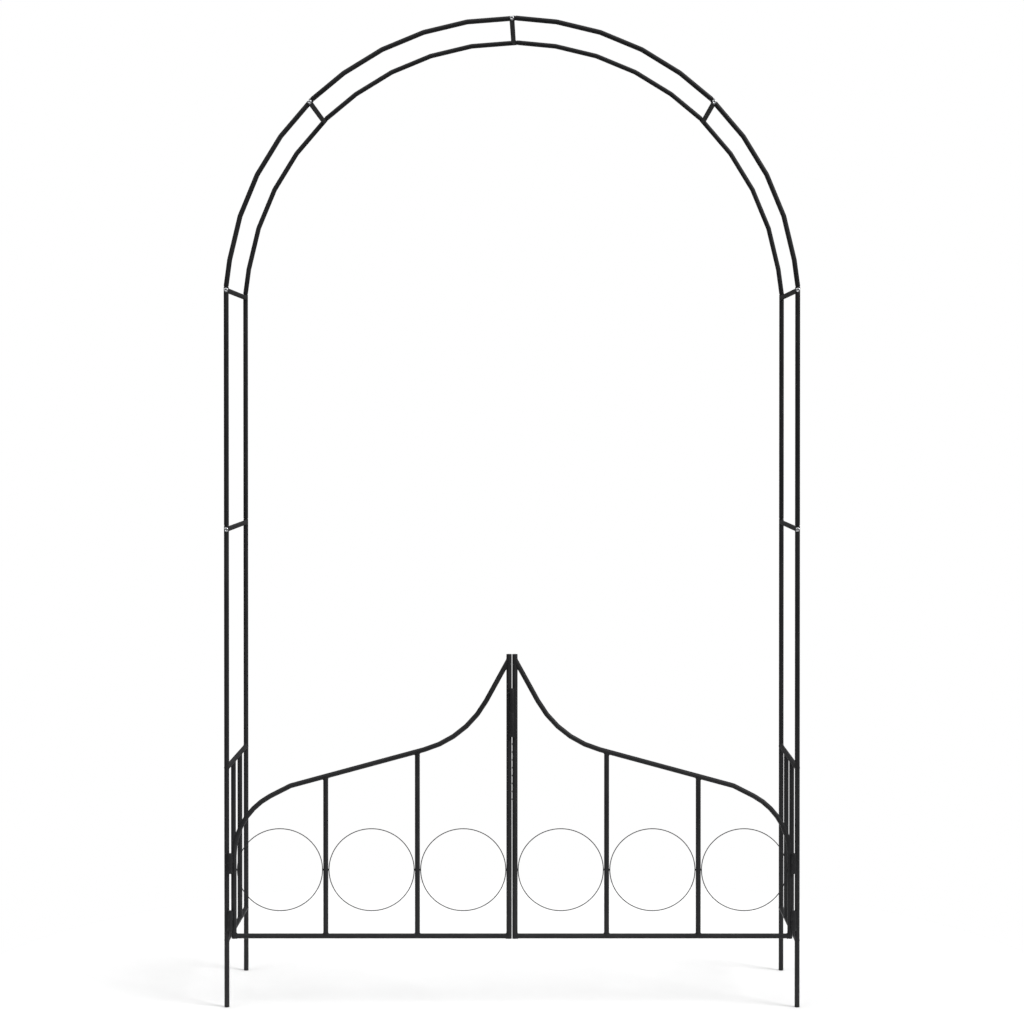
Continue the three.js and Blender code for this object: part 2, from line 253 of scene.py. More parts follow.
def bent(corners, radius=BEND_RADIUS):
    """A path through the corners, with each kink rounded."""
    path = [corners[0]]
    for before, here, after in zip(corners, corners[1:], corners[2:]):
        arriving = heading(before, here)
        leaving = heading(here, after)
        reach = radius * math.tan(arriving.angle(leaving) / 2)
        start = here - reach * arriving
        end = here + reach * leaving
        for i in range(BEND_STEPS + 1):
            share = i / BEND_STEPS
            path.append(start.lerp(here, share).lerp(here.lerp(end, share), share))
    path.append(corners[-1])
    return path


# ---- tubes ----
class Crossing:
    """A tube that another one ends on: a point on its centre line, its direction and its radius."""

    def __init__(self, place, direction, radius=TUBE_RADIUS):
        self.place = place
        self.direction = direction.normalized()
        self.radius = radius

    def slid(self, ring, onwards):
        """The ring's points, slid against the onwards direction until they lie on the crossing tube."""
        radius = self.radius + WELD_GAP
        step = onwards - onwards.dot(self.direction) * self.direction
        found = []
        for point in ring:
            off = point - self.place
            off -= off.dot(self.direction) * self.direction
            half = off.dot(step) / step.length_squared
            rest = (off.length_squared - radius**2) / step.length_squared
            found.append(point - (half + math.sqrt(max(half**2 - rest, 0))) * onwards)
        return found


def eased(stations):
    """The stations of an outer wall, with its far edge rounded."""
    (before, _), (end, radius) = stations[-2:]
    back = heading(end, before)
    corner = [(share, 1 - math.sqrt(1 - (1 - share) ** 2)) for share in RIM_STEPS]
    return stations[:-1] + [
        (end + RIM_EASE * depth * back, radius - RIM_EASE * inset) for depth, inset in corner
    ]


def tube(stations, normal, start="open", end="open"):
    """A tube through (point, outer radius) stations. Each end is open, closed or shaped to a Crossing."""
    outer = list(stations)
    if not isinstance(end, Crossing):
        outer = eased(outer)
    if not isinstance(start, Crossing):
        outer = eased(outer[::-1])[::-1]
    inner = [(point, radius - WALL) for point, radius in stations]
    if end == "closed":
        point, radius = inner[-1]
        inner[-1] = (point + END_THICKNESS * heading(point, inner[-2][0]), radius)
    outer = rings_along(outer, normal)
    inner = rings_along(inner, normal)
    for rings in (outer, inner):
        if isinstance(start, Crossing):
            rings[0] = start.slid(rings[0], heading(stations[1][0], stations[0][0]))
        if isinstance(end, Crossing):
            rings[-1] = end.slid(rings[-1], heading(stations[-2][0], stations[-1][0]))
    shape = Shape()
    if end == "closed":
        return shape.add_rings(inner[::-1] + outer)
    return shape.add_rings(outer + inner[::-1], closed=True)


def plain(points, radius=TUBE_RADIUS):
    """Stations of a tube that has the same radius all along."""
    return [(point, radius) for point in points]


def welded_tube(start, end, normal):
    """A straight tube between two crossing tubes, shaped at each end to the one it sits on."""
    return tube(plain([start.place, end.place]), normal, start, end)


# ---- welds ----
def ripple(distance):
    return 1 + RIPPLE * math.cos(2 * math.pi * distance / RIPPLE_PITCH)


def add_round_weld(shape, crossing, onwards, normal):
    """A rippled bead round the end of a tube that sits on a crossing tube."""
    end = crossing.place
    side = onwards.cross(normal).normalized()
    line = crossing.slid(ring_at(end, normal, side, TUBE_RADIUS, BEAD_STEPS), onwards)
    rings = []
    travelled = 0
    for i, point in enumerate(line):
        after = line[(i + 1) % BEAD_STEPS]
        outwards = (point - end) - (point - end).dot(onwards) * onwards
        off = (point - end) - (point - end).dot(crossing.direction) * crossing.direction
        outwards.normalize()
        off.normalize()
        out = (outwards + off).normalized()
        along = heading(line[i - 1], after)
        radius = BEAD_RADIUS * (1 - BEAD_THINNING * max(outwards.dot(off), 0))
        centre = point + BEAD_STAND_OFF * radius * out
        across = along.cross(out).normalized()
        rings.append(ring_at(centre, out, across, radius * ripple(travelled), BEAD_SIDES))
        travelled += (after - point).length
    shape.add_rings(rings, closed=True)


def add_seam_weld(shape, place, bottom, length, radius=BEAD_RADIUS):
    """A rippled upright bead with round ends, at an (x, y) place."""
    steps = max(8, round(length * SEAM_RINGS_PER_MM))
    rings = []
    for i in range(steps + 1):
        share = i / steps
        height = bottom + length * share
        from_end = min(share, 1 - share) * length
        still_to_widen = max(0, 1 - from_end / (SEAM_TAPER * radius))
        taper = math.sqrt(max(SEAM_TIP, 1 - still_to_widen**2))
        centre = Vector((place.x, place.y, height))
        rings.append(ring_at(centre, X, Y, radius * taper * ripple(height), BEAD_SIDES))
    shape.add_rings(rings)


def notch(first, first_radius, second, second_radius, bead_radius, front=True):
    """Where a bead lies between two upright round bars, on their front or their back side."""
    one = first_radius + BEAD_STAND_OFF * bead_radius
    two = second_radius + BEAD_STAND_OFF * bead_radius
    between = Vector((second.x - first.x, second.y - first.y, 0))
    apart = between.length
    along = (apart**2 + one**2 - two**2) / (2 * apart)
    off = math.sqrt(max(one**2 - along**2, 0))
    direction = between / apart
    square = Vector((-direction.y, direction.x, 0))
    if (square.y > 0) == front:
        square = -square
    base = Vector((first.x, first.y, 0))
    return base + along * direction + off * square


# ---- materials: scales are per metre, depths in metres, colours linear ----
NOISE_RANGE = (0.3, 0.7)        # where nearly all of a noise texture's values lie
RAMP_RANGE = (0.35, 0.68)
SMOOTH_ANGLE = 38               # degrees between faces, above which an edge is sharp

COAT_COLOURS = ((0.0165, 0.0165, 0.0175), (0.0215, 0.0215, 0.0225))
COAT_ROUGHNESS = (0.42, 0.52)
COAT_SPECULAR = 0.14
CLOUD_SCALE = 14
PEEL_SCALE = 900
PEEL_DEPTH = 0.00008
GRIT_SCALE = 4200
GRIT_DEPTH = 0.00002

ZINC_COLOURS = ((0.5, 0.51, 0.53), (0.66, 0.67, 0.68))
ZINC_ROUGHNESS = (0.2, 0.36)
BLOOM_SCALE = 260
TURNING_SCALE = 900
TURNING_DEPTH = 0.00004


def new_material(name):
    material = bpy.data.materials.new(name)
    material.use_nodes = True
    nodes = material.node_tree.nodes
    return material, nodes, material.node_tree.links, nodes["Principled BSDF"]


def noise(nodes, links, coordinates, scale, detail, roughness):
    texture = nodes.new("ShaderNodeTexNoise")
    texture.inputs["Scale"].default_value = scale
    texture.inputs["Detail"].default_value = detail
    texture.inputs["Roughness"].default_value = roughness
    links.new(coordinates, texture.inputs["Vector"])
    return texture.outputs["Fac"]


def spread(nodes, links, value, low, high):
    """A noise texture's range, spread over low to high."""
    span = nodes.new("ShaderNodeMapRange")
    span.inputs["From Min"].default_value = NOISE_RANGE[0]
    span.inputs["From Max"].default_value = NOISE_RANGE[1]
    span.inputs["To Min"].default_value = low
    span.inputs["To Max"].default_value = high
    links.new(value, span.inputs["Value"])
    return span.outputs["Result"]


def two_colours(nodes, links, value, low, high):
    """A colour that goes from low to high with a noise texture's value."""
    ramp = nodes.new("ShaderNodeValToRGB")
    for element, position, colour in zip(ramp.color_ramp.elements, RAMP_RANGE, (low, high)):
        element.position = position
        element.color = (*colour, 1)
    links.new(value, ramp.inputs["Fac"])
    return ramp.outputs["Color"]


def bump(nodes, links, height, distance, strength, under=None):
    relief = nodes.new("ShaderNodeBump")
    relief.inputs["Distance"].default_value = distance
    relief.inputs["Strength"].default_value = strength
    links.new(height, relief.inputs["Height"])
    if under is not None:
        links.new(under, relief.inputs["Normal"])
    return relief.outputs["Normal"]


def powder_coat():
    """Satin black powder coat with orange peel, fine grit and a faint cloudiness."""
    material, nodes, links, shader = new_material("black_powder_coat")
    place = nodes.new("ShaderNodeTexCoord").outputs["Object"]
    cloud = noise(nodes, links, place, CLOUD_SCALE, detail=3, roughness=0.5)
    peel = noise(nodes, links, place, PEEL_SCALE, detail=2, roughness=0.4)
    grit = noise(nodes, links, place, GRIT_SCALE, detail=1, roughness=0.5)
    links.new(two_colours(nodes, links, cloud, *COAT_COLOURS), shader.inputs["Base Color"])
    links.new(spread(nodes, links, cloud, *COAT_ROUGHNESS), shader.inputs["Roughness"])
    relief = bump(nodes, links, peel, PEEL_DEPTH, strength=0.25)
    relief = bump(nodes, links, grit, GRIT_DEPTH, strength=0.2, under=relief)
    links.new(relief, shader.inputs["Normal"])
    shader.inputs["Specular IOR Level"].default_value = COAT_SPECULAR
    return material


def zinc_plate():
    """Bright zinc with fine turned lines about the piece's own Z axis and a slight bloom."""
    material, nodes, links, shader = new_material("bright_zinc")
    place = nodes.new("ShaderNodeTexCoord").outputs["Object"]
    bloom = noise(nodes, links, place, BLOOM_SCALE, detail=4, roughness=0.6)
    lines = nodes.new("ShaderNodeTexWave")
    lines.wave_type = "RINGS"
    lines.rings_direction = "Z"
    lines.inputs["Scale"].default_value = TURNING_SCALE
    lines.inputs["Distortion"].default_value = 1.5
    lines.inputs["Detail"].default_value = 2
    links.new(place, lines.inputs["Vector"])
    links.new(two_colours(nodes, links, bloom, *ZINC_COLOURS), shader.inputs["Base Color"])
    links.new(spread(nodes, links, bloom, *ZINC_ROUGHNESS), shader.inputs["Roughness"])
    relief = bump(nodes, links, lines.outputs["Fac"], TURNING_DEPTH, strength=0.25)
    links.new(relief, shader.inputs["Normal"])
    shader.inputs["Metallic"].default_value = 1
    return material


BLACK = powder_coat()
ZINC = zinc_plate()


# ---- pieces ----
def tidy(mesh):
    """Turns the faces outwards, and shades smoothly between faces that meet at a shallow angle."""
    work = bmesh.new()
    work.from_mesh(mesh)
    bmesh.ops.recalc_face_normals(work, faces=work.faces)
    work.to_mesh(mesh)
    work.free()
    mesh.shade_smooth()
    mesh.set_sharp_from_angle(angle=math.radians(SMOOTH_ANGLE))


def mesh_of(name, shape):
    """A mesh of the shape, in metres."""
    mesh = bpy.data.meshes.new(name)
    mesh.from_pydata([corner * MM for corner in shape.corners], [], shape.faces)
    tidy(mesh)
    return mesh


def make_piece(name, shape, material, body, *cad_nodes):
    """Makes a mesh object of the shape, which moves with the CAD body and stands for the CAD nodes."""
    mesh = mesh_of(name, shape)
    mesh.materials.append(material)
    piece = bpy.data.objects.new(name, mesh)
    bpy.context.scene.collection.objects.link(piece)
    return settle(piece, material, body, *cad_nodes)


def settle(piece, material, body, *cad_nodes):
    """Hangs a piece on its body's empty and hides the CAD nodes that it replaces."""
    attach(piece, body)
    if cad_nodes:
        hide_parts(*cad_nodes)
    return piece


def cut_with(piece, shape):
    """Cuts a shape out of a piece."""
    mesh = mesh_of("cutter", shape)
    cutter = bpy.data.objects.new("cutter", mesh)
    bpy.context.scene.collection.objects.link(cutter)
    modifier = piece.modifiers.new("cut", "BOOLEAN")
    modifier.operation = "DIFFERENCE"
    modifier.solver = "EXACT"
    modifier.object = cutter
    evaluated = piece.evaluated_get(bpy.context.evaluated_depsgraph_get())
    result = bpy.data.meshes.new_from_object(evaluated)
    piece.modifiers.clear()
    piece.data = result
    tidy(result)
    bpy.data.objects.remove(cutter)
    bpy.data.meshes.remove(mesh)


# ---- hoops ----
def on_arch(side, angle, plane):
    """A point of a hoop's centre line, at an angle in degrees from the crown."""
    x = side * ARCH_RADIUS * math.sin(math.radians(angle))
    return Vector((x, plane, ARCH_CENTRE_HEIGHT + ARCH_RADIUS * math.cos(math.radians(angle))))


def arch_bends(side, start, end, plane):
    """The corners of a hoop's centre line, upwards from one angle to another."""
    return [on_arch(side, angle, plane) for angle in range(start, end - 1, -ARCH_KINK)]


def shoulder_heading(side, plane):
    return heading(on_arch(side, SHOULDER_ANGLE + ARCH_KINK, plane), on_arch(side, SHOULDER_ANGLE, plane))


def crown_heading(plane):
    return heading(on_arch(-1, ARCH_KINK, plane), on_arch(-1, 0, plane))


def hoop_joints(side, plane):
    """Each bolted joint of a hoop's side, with the direction of the outer tube there."""
    return {
        "lower": (Vector((side * LEG_OFFSET, plane, LOWER_JOINT)), Z),
        "upper": (Vector((side * LEG_OFFSET, plane, UPPER_JOINT)), Z),
        "shoulder": (on_arch(side, SHOULDER_ANGLE, plane), shoulder_heading(side, plane)),
        "crown": (on_arch(side, 0, plane), crown_heading(plane)),
    }


def plug(joint):
    """Stations of the narrowed end that goes into a joint, from its tip to its neck."""
    place, direction = joint
    seam = place + (SEAM_OFFSET + TOUCH_GAP) * direction
    tip = seam - SPIGOT_LENGTH * direction
    stations = [(tip, SPIGOT_RADIUS)]
    for i in range(NECK_STEPS + 1):
        share = i / NECK_STEPS
        swell = share * share * (3 - 2 * share)
        radius = SPIGOT_RADIUS + (TUBE_RADIUS - SPIGOT_RADIUS) * swell
        stations.append((seam + share * NECK_LENGTH * direction, radius))
    return stations


def socket(joint):
    """Stations of the plain end that takes a plug, either side of its bolt hole."""
    place, direction = joint
    return plain([place - SEAM_OFFSET * direction, place + SEAM_OFFSET * direction])


def make_hoop_tube(node, stations, joints, **ends):
    """One tube of a hoop, with a bolt hole at each joint that it is part of."""
    piece = make_piece(f"{node}_tube", tube(stations, Y, **ends), BLACK, "arch", node)
    holes = Shape()
    for place, _ in joints:
        reach = 2 * TUBE_RADIUS * Y
        holes.add_rings([ring_at(place + way * reach, X, Z, BOLT_HOLE_RADIUS) for way in (-1, 1)])
    cut_with(piece, holes)


def make_hoop_side(name, side, plane):
    joints = hoop_joints(side, plane)
    foot = Vector((side * LEG_OFFSET, plane, 0))
    lower_leg = (plain([foot]) + socket(joints["lower"]))[::-1]
    make_hoop_tube(f"{name}_lower_leg", lower_leg, [joints["lower"]], end="closed")
    upper_leg = plug(joints["lower"]) + socket(joints["upper"])
    make_hoop_tube(f"{name}_upper_leg", upper_leg, [joints["lower"], joints["upper"]])

    start = plug(joints["upper"])
    bends = arch_bends(side, FIRST_ARCH_BEND, SHOULDER_ANGLE + ARCH_KINK, plane)
    finish = socket(joints["shoulder"])
    lower_arch = start[:-1] + plain(bent([start[-1][0], *bends, finish[0][0]])) + finish[1:]
    make_hoop_tube(f"{name}_lower_arch", lower_arch, [joints["upper"], joints["shoulder"]])

    # At the crown the left tube runs on over the joint and the right tube plugs into it.
    start = plug(joints["shoulder"])
    bends = arch_bends(side, SHOULDER_ANGLE - ARCH_KINK, ARCH_KINK, plane)
    finish = socket(joints["crown"]) if side < 0 else plug(joints["crown"])[::-1]
    upper_arch = start[:-1] + plain(bent([start[-1][0], *bends, finish[0][0]])) + finish[1:]
    make_hoop_tube(f"{name}_upper_arch", upper_arch, [joints["shoulder"], joints["crown"]])


# ---- bolts and inserts ----
def hexagon_ring(height, half_width):
    """A six-sided ring with as many points as a bolt's other rings."""
    ring = []
    for i in range(SMALL_SIDES):
        angle = 2 * math.pi * i / SMALL_SIDES
        from_flat = (angle + math.pi / 6) % (math.pi / 3) - math.pi / 6
        radius = half_width / math.cos(from_flat)
        ring.append(Vector((radius * math.cos(angle), radius * math.sin(angle), height)))
    return ring


def thread_profile(radius, start, end):
    """Turned grooves between two heights."""
    profile = []
    grooves = int(abs(end - start) / THREAD_PITCH)
    for i in range(grooves):
        height = start + (end - start) * i / grooves
        middle_height = start + (end - start) * (i + 0.5) / grooves
        profile += [(radius, height), (radius - THREAD_DEPTH, middle_height)]
    return profile + [(radius, end)]


def bolt_rings():
    """A button-head bolt with a hexagon socket. Its seat is at height 0 and its shank goes down."""
    crown_radius = 2.9
    edge_height = 0.5
    dome = []
    for degrees in range(0, 81, 10):
        angle = math.radians(degrees)
        dome.append((
            crown_radius + (BOLT_HEAD_RADIUS - crown_radius) * math.cos(angle),
            edge_height + (BOLT_HEAD_HEIGHT - edge_height) * math.sin(angle),
        ))
    tip = (BOLT_RADIUS - BOLT_TIP_CHAMFER, -BOLT_LENGTH)
    thread = thread_profile(BOLT_RADIUS, -BOLT_LENGTH + BOLT_TIP_CHAMFER, -TUBE_RADIUS)
    neck = [(BOLT_RADIUS, -BOLT_NECK_FILLET), (BOLT_RADIUS + BOLT_NECK_FILLET, 0)]
    edge = [(BOLT_HEAD_RADIUS - 0.3, 0), (BOLT_HEAD_RADIUS, 0.25)]
    rings = turned([tip, *thread, *neck, *edge, *dome])

    # The socket: a countersunk rim, six walls, and the cone that the drill leaves.
    rim_outer = SOCKET_HALF_WIDTH * 1.28
    rim_inner = SOCKET_HALF_WIDTH * 1.18
    walls_start = BOLT_HEAD_HEIGHT - 0.35
    walls_end = BOLT_HEAD_HEIGHT - SOCKET_DEPTH
    cone = 0.8
    rings += turned([(rim_outer, BOLT_HEAD_HEIGHT), (rim_inner, BOLT_HEAD_HEIGHT - 0.12)])
    rings.append(hexagon_ring(walls_start, SOCKET_HALF_WIDTH))
    rings.append(hexagon_ring(walls_end, SOCKET_HALF_WIDTH))
    rings += turned([(0.25, walls_end - cone)])
    return rings


def insert_rings():
    """A round nut that fills a rung's end and takes the bolt."""
    outer = TUBE_RADIUS - WALL - WELD_GAP
    bore = BOLT_RADIUS + WELD_GAP
    chamfer = INSERT_CHAMFER
    return turned([
        (bore, 0), (outer - chamfer, 0), (outer, chamfer), (outer, INSERT_LENGTH - chamfer),
        (outer - chamfer, INSERT_LENGTH), (bore, INSERT_LENGTH),
    ])


def facing(place, direction, spin=0.0):
    """The matrix that puts local Z along a direction at a place."""
    turn = direction.to_track_quat("Z", "Y").to_matrix().to_4x4()
    return Matrix.Translation(place) @ turn @ Matrix.Rotation(spin, 4, "Z")


def place_turned(name, rings, closed, material, body, place, direction, spin=0.0, nodes=()):
    """A turned piece whose own origin is at a place and whose own Z axis points in a direction."""
    mesh = mesh_of(name, Shape().add_rings(rings, closed))
    mesh.materials.append(material)
    piece = bpy.data.objects.new(name, mesh)
    piece.matrix_world = facing(place * MM, direction, spin)
    bpy.context.scene.collection.objects.link(piece)
    return settle(piece, material, body, *nodes)


def make_fasteners(plane_name, plane):
    outwards = -Y if plane_name == "front" else Y
    places = [("crown", hoop_joints(1, plane)["crown"][0])]
    for name, side in SIDES:
        joints = hoop_joints(side, plane)
        places += [(f"{name}_{joint}", joints[joint][0]) for joint in ("lower", "upper", "shoulder")]
    for number, (name, place) in enumerate(places):
        seat = place + TUBE_RADIUS * outwards
        spin = math.radians(BOLT_TURN * number)
        place_turned(f"{plane_name}_{name}_bolt", bolt_rings(), False, ZINC, "arch", seat, outwards, spin)
        start = place - (TUBE_RADIUS + TOUCH_GAP) * outwards
        place_turned(f"{plane_name}_{name}_insert", insert_rings(), True, ZINC, "arch", start, -outwards)


# ---- rungs and side panels ----
def make_rungs():
    joints = []
    for name, side in SIDES:
        for joint in ("lower", "upper", "shoulder"):
            joints.append((f"{name}_{joint}_rung", hoop_joints(side, PLANES["front"])[joint]))
    joints.append(("crown_rung", hoop_joints(1, PLANES["front"])["crown"]))
    for node, (place, across) in joints:
        back = place + (PLANES["back"] - PLANES["front"]) * Y
        shape = welded_tube(Crossing(place, across), Crossing(back, across), across.cross(Y))
        make_piece(f"{node}_tube", shape, BLACK, "arch", node)


def make_side_panel(name, side):
    welds = Shape()
    x = side * LEG_OFFSET
    heights = {rail: middle(f"{name}_side_{rail}_rail").z for rail in ("top", "bottom")}
    for rail, height in heights.items():
        start = Crossing(Vector((x, PLANES["front"], height)), Z)
        end = Crossing(Vector((x, PLANES["back"], height)), Z)
        node = f"{name}_side_{rail}_rail"
        make_piece(f"{node}_tube", welded_tube(start, end, X), BLACK, "arch", node)
        add_round_weld(welds, start, -Y, X)
        add_round_weld(welds, end, Y, X)
    for bar in ("front", "back"):
        node = f"{name}_side_{bar}_bar"
        y = middle(node).y
        low = Crossing(Vector((x, y, heights["bottom"])), Y)
        high = Crossing(Vector((x, y, heights["top"])), Y)
        make_piece(f"{node}_tube", welded_tube(low, high, X), BLACK, "arch", node)
        add_round_weld(welds, low, -Z, X)
        add_round_weld(welds, high, Z, X)
    make_piece(f"{name}_side_panel_welds", welds, BLACK, "arch")


# ---- gate leaves ----
def frame_corners():
    """The corners of a leaf's frame tube as (distance from the middle, height), from the stile outwards."""
    corners = [(INNER_STILE_OFFSET, RAIL_START_HEIGHT)]
    start_slope = math.radians(RAIL_START_SLOPE)
    slope = math.radians(RAIL_SLOPE)
    # The two straight stretches would meet at the knee, which the inner bend rounds.
    end_x, end_z = RAIL_END
    rise = RAIL_START_HEIGHT - end_z - math.tan(slope) * (end_x - INNER_STILE_OFFSET)
    knee_x = INNER_STILE_OFFSET + rise / (math.tan(start_slope) - math.tan(slope))
    knee_z = RAIL_START_HEIGHT - math.tan(start_slope) * (knee_x - INNER_STILE_OFFSET)
    tangent = INNER_BEND_RADIUS * math.tan((start_slope - slope) / 2)
    centre_x = knee_x - tangent * math.cos(start_slope) + INNER_BEND_RADIUS * math.sin(start_slope)
    centre_z = knee_z + tangent * math.sin(start_slope) + INNER_BEND_RADIUS * math.cos(start_slope)
    for i in range(INNER_BEND_STEPS + 1):
        angle = start_slope + (slope - start_slope) * i / INNER_BEND_STEPS
        corners.append((centre_x - INNER_BEND_RADIUS * math.sin(angle),
                        centre_z - INNER_BEND_RADIUS * math.cos(angle)))
    corners.append(RAIL_END)
    for i in range(CORNER_STEPS + 1):
        angle = math.radians(CORNER_START + (90 - CORNER_START) * i / CORNER_STEPS)
        corners.append((OUTER_STILE_OFFSET - CORNER_RADIUS + CORNER_RADIUS * math.sin(angle),
                        CORNER_CENTRE_HEIGHT + CORNER_RADIUS * math.cos(angle)))
    corners.append((OUTER_STILE_OFFSET, STILE_BOTTOM))
    return corners


def rail_height(offset):
    """Height of a leaf's straight rail at a distance from the middle."""
    return RAIL_END[1] + math.tan(math.radians(RAIL_SLOPE)) * (RAIL_END[0] - offset)


def make_leaf(name, side):
    body = f"{name}_leaf"
    plane = PLANES["front"]

    def at(offset, height):
        return Vector((side * offset, plane, height))

    welds = Shape()
    corners = [at(*corner) for corner in frame_corners()]
    node = f"{name}_gate_frame"
    start = Crossing(corners[0], Z, STILE_RADIUS)
    make_piece(f"{node}_tube", tube(plain(bent(corners)), Y, start), BLACK, body, node)
    add_round_weld(welds, start, heading(corners[1], corners[0]), Y)

    node = f"{name}_gate_inner_stile"
    ends = [at(INNER_STILE_OFFSET, STILE_BOTTOM), at(INNER_STILE_OFFSET, INNER_STILE_TOP)]
    stile = plain(ends, STILE_RADIUS)
    make_piece(f"{node}_tube", tube(stile, Y, end="closed"), BLACK, body, node)

    slope = Vector((side * math.cos(math.radians(RAIL_SLOPE)), 0, -math.sin(math.radians(RAIL_SLOPE))))
    for bar, offset in BAR_OFFSETS.items():
        node = f"{name}_gate_{bar}_bar"
        low = Crossing(at(offset, GATE_BOTTOM_HEIGHT), X)
        high = Crossing(at(offset, rail_height(offset)), slope)
        make_piece(f"{node}_tube", welded_tube(low, high, Y), BLACK, body, node)
        add_round_weld(welds, low, -Z, Y)
        add_round_weld(welds, high, Z, Y)

    node = f"{name}_gate_bottom_rail"
    inner = Crossing(at(INNER_STILE_OFFSET, GATE_BOTTOM_HEIGHT), Z, STILE_RADIUS)
    outer = Crossing(at(OUTER_STILE_OFFSET, GATE_BOTTOM_HEIGHT), Z)
    make_piece(f"{node}_tube", welded_tube(inner, outer, Y), BLACK, body, node)
    add_round_weld(welds, inner, -side * X, Y)
    add_round_weld(welds, outer, side * X, Y)
    make_piece(f"{name}_gate_frame_welds", welds, BLACK, body)

    make_rings(name, body)


def make_rings(name, body):
    tacks = Shape()
    for ring in ("inner", "middle", "outer"):
        node = f"{name}_gate_{ring}_ring"
        centre = middle(node)
        half_width, _, half_height = (high_corner(node) - low_corner(node)) / 2
        half_width -= WIRE_RADIUS
        half_height -= WIRE_RADIUS
        rings = []
        for i in range(WIRE_STEPS):
            angle = 2 * math.pi * i / WIRE_STEPS
            point = centre + Vector((half_width * math.cos(angle), 0, half_height * math.sin(angle)))
            along = Vector((-half_width * math.sin(angle), 0, half_height * math.cos(angle)))
            rings.append(ring_at(point, Y, along.cross(Y).normalized(), WIRE_RADIUS, WIRE_SIDES))
        make_piece(f"{node}_wire", Shape().add_rings(rings, closed=True), BLACK, body, node)
        for way in (-1, 1):
            place = centre + way * (half_width + WIRE_RADIUS) * X
            add_seam_weld(tacks, place, centre.z - TACK_LENGTH / 2, TACK_LENGTH, TACK_RADIUS)
    make_piece(f"{name}_gate_ring_tacks", tacks, BLACK, body)


# ---- hinges ----
def barrel_profile(length, radius, bore):
    """The closed outline of a chamfered barrel that stands on height 0, as (radius, height) pairs."""
    chamfer = KNUCKLE_CHAMFER
    ease = KNUCKLE_EASE
    return [
        (bore + chamfer, 0), (radius - chamfer, 0), (radius - ease, ease), (radius, chamfer),
        (radius, length - chamfer), (radius - ease, length - ease), (radius - chamfer, length),
        (bore + chamfer, length), (bore, length - chamfer), (bore, chamfer),
    ]


def pintle_profile(length, pin_top):
    """The outline of a barrel with a round-topped pin on it, which stands on height 0."""
    radius = KNUCKLE_RADIUS
    pin = HINGE_PIN_RADIUS
    chamfer = KNUCKLE_CHAMFER
    ease = KNUCKLE_EASE
    tip = HINGE_PIN_TIP
    dome = []
    for degrees in range(0, 91, 18):
        angle = math.radians(degrees)
        dome.append((pin - tip + tip * math.cos(angle), pin_top - tip + tip * math.sin(angle)))
    return [
        (1.0, 0), (radius - chamfer, 0), (radius - ease, ease), (radius, chamfer),
        (radius, length - chamfer), (radius - ease, length - ease), (radius - chamfer, length),
        (pin + 0.4, length), (pin, length + 0.2), *dome, (0.6, pin_top),
    ]


def make_hinges(name, side):
    leg = Vector((side * LEG_OFFSET, PLANES["front"], 0))
    stile = Vector((side * OUTER_STILE_OFFSET, PLANES["front"], 0))
    for place in ("lower", "upper"):
        node = f"{name}_{place}_hinge"
        eye_low, eye_high = low_corner(f"{node}_eye"), high_corner(f"{node}_eye")
        pintle_low, pintle_high = low_corner(f"{node}_pintle"), high_corner(f"{node}_pintle")
        centre = middle(f"{node}_eye")
        axis = Vector((centre.x, centre.y, 0))
        seat = eye_low.z - TOUCH_GAP - pintle_low.z
        rings = turned(pintle_profile(seat, pintle_high.z - pintle_low.z))
        place_turned(f"{node}_pintle_pin", rings, False, BLACK, "arch", axis + pintle_low.z * Z, Z,
                     nodes=[f"{node}_pintle"])
        length = eye_high.z - eye_low.z
        rings = turned(barrel_profile(length, KNUCKLE_RADIUS, HINGE_BORE_RADIUS))
        place_turned(f"{node}_eye_barrel", rings, True, BLACK, f"{name}_leaf", axis + eye_low.z * Z, Z,
                     nodes=[f"{node}_eye"])
        for part, body, bar, bottom, height in (
            ("pintle", "arch", leg, pintle_low.z, seat),
            ("eye", f"{name}_leaf", stile, eye_low.z, length),
        ):
            welds = Shape()
            for front in (True, False):
                spot = notch(axis, KNUCKLE_RADIUS, bar, TUBE_RADIUS, BEAD_RADIUS, front)
                add_seam_weld(welds, spot, bottom + HINGE_WELD_INSET, height - 2 * HINGE_WELD_INSET)
            make_piece(f"{node}_{part}_welds", welds, BLACK, body)


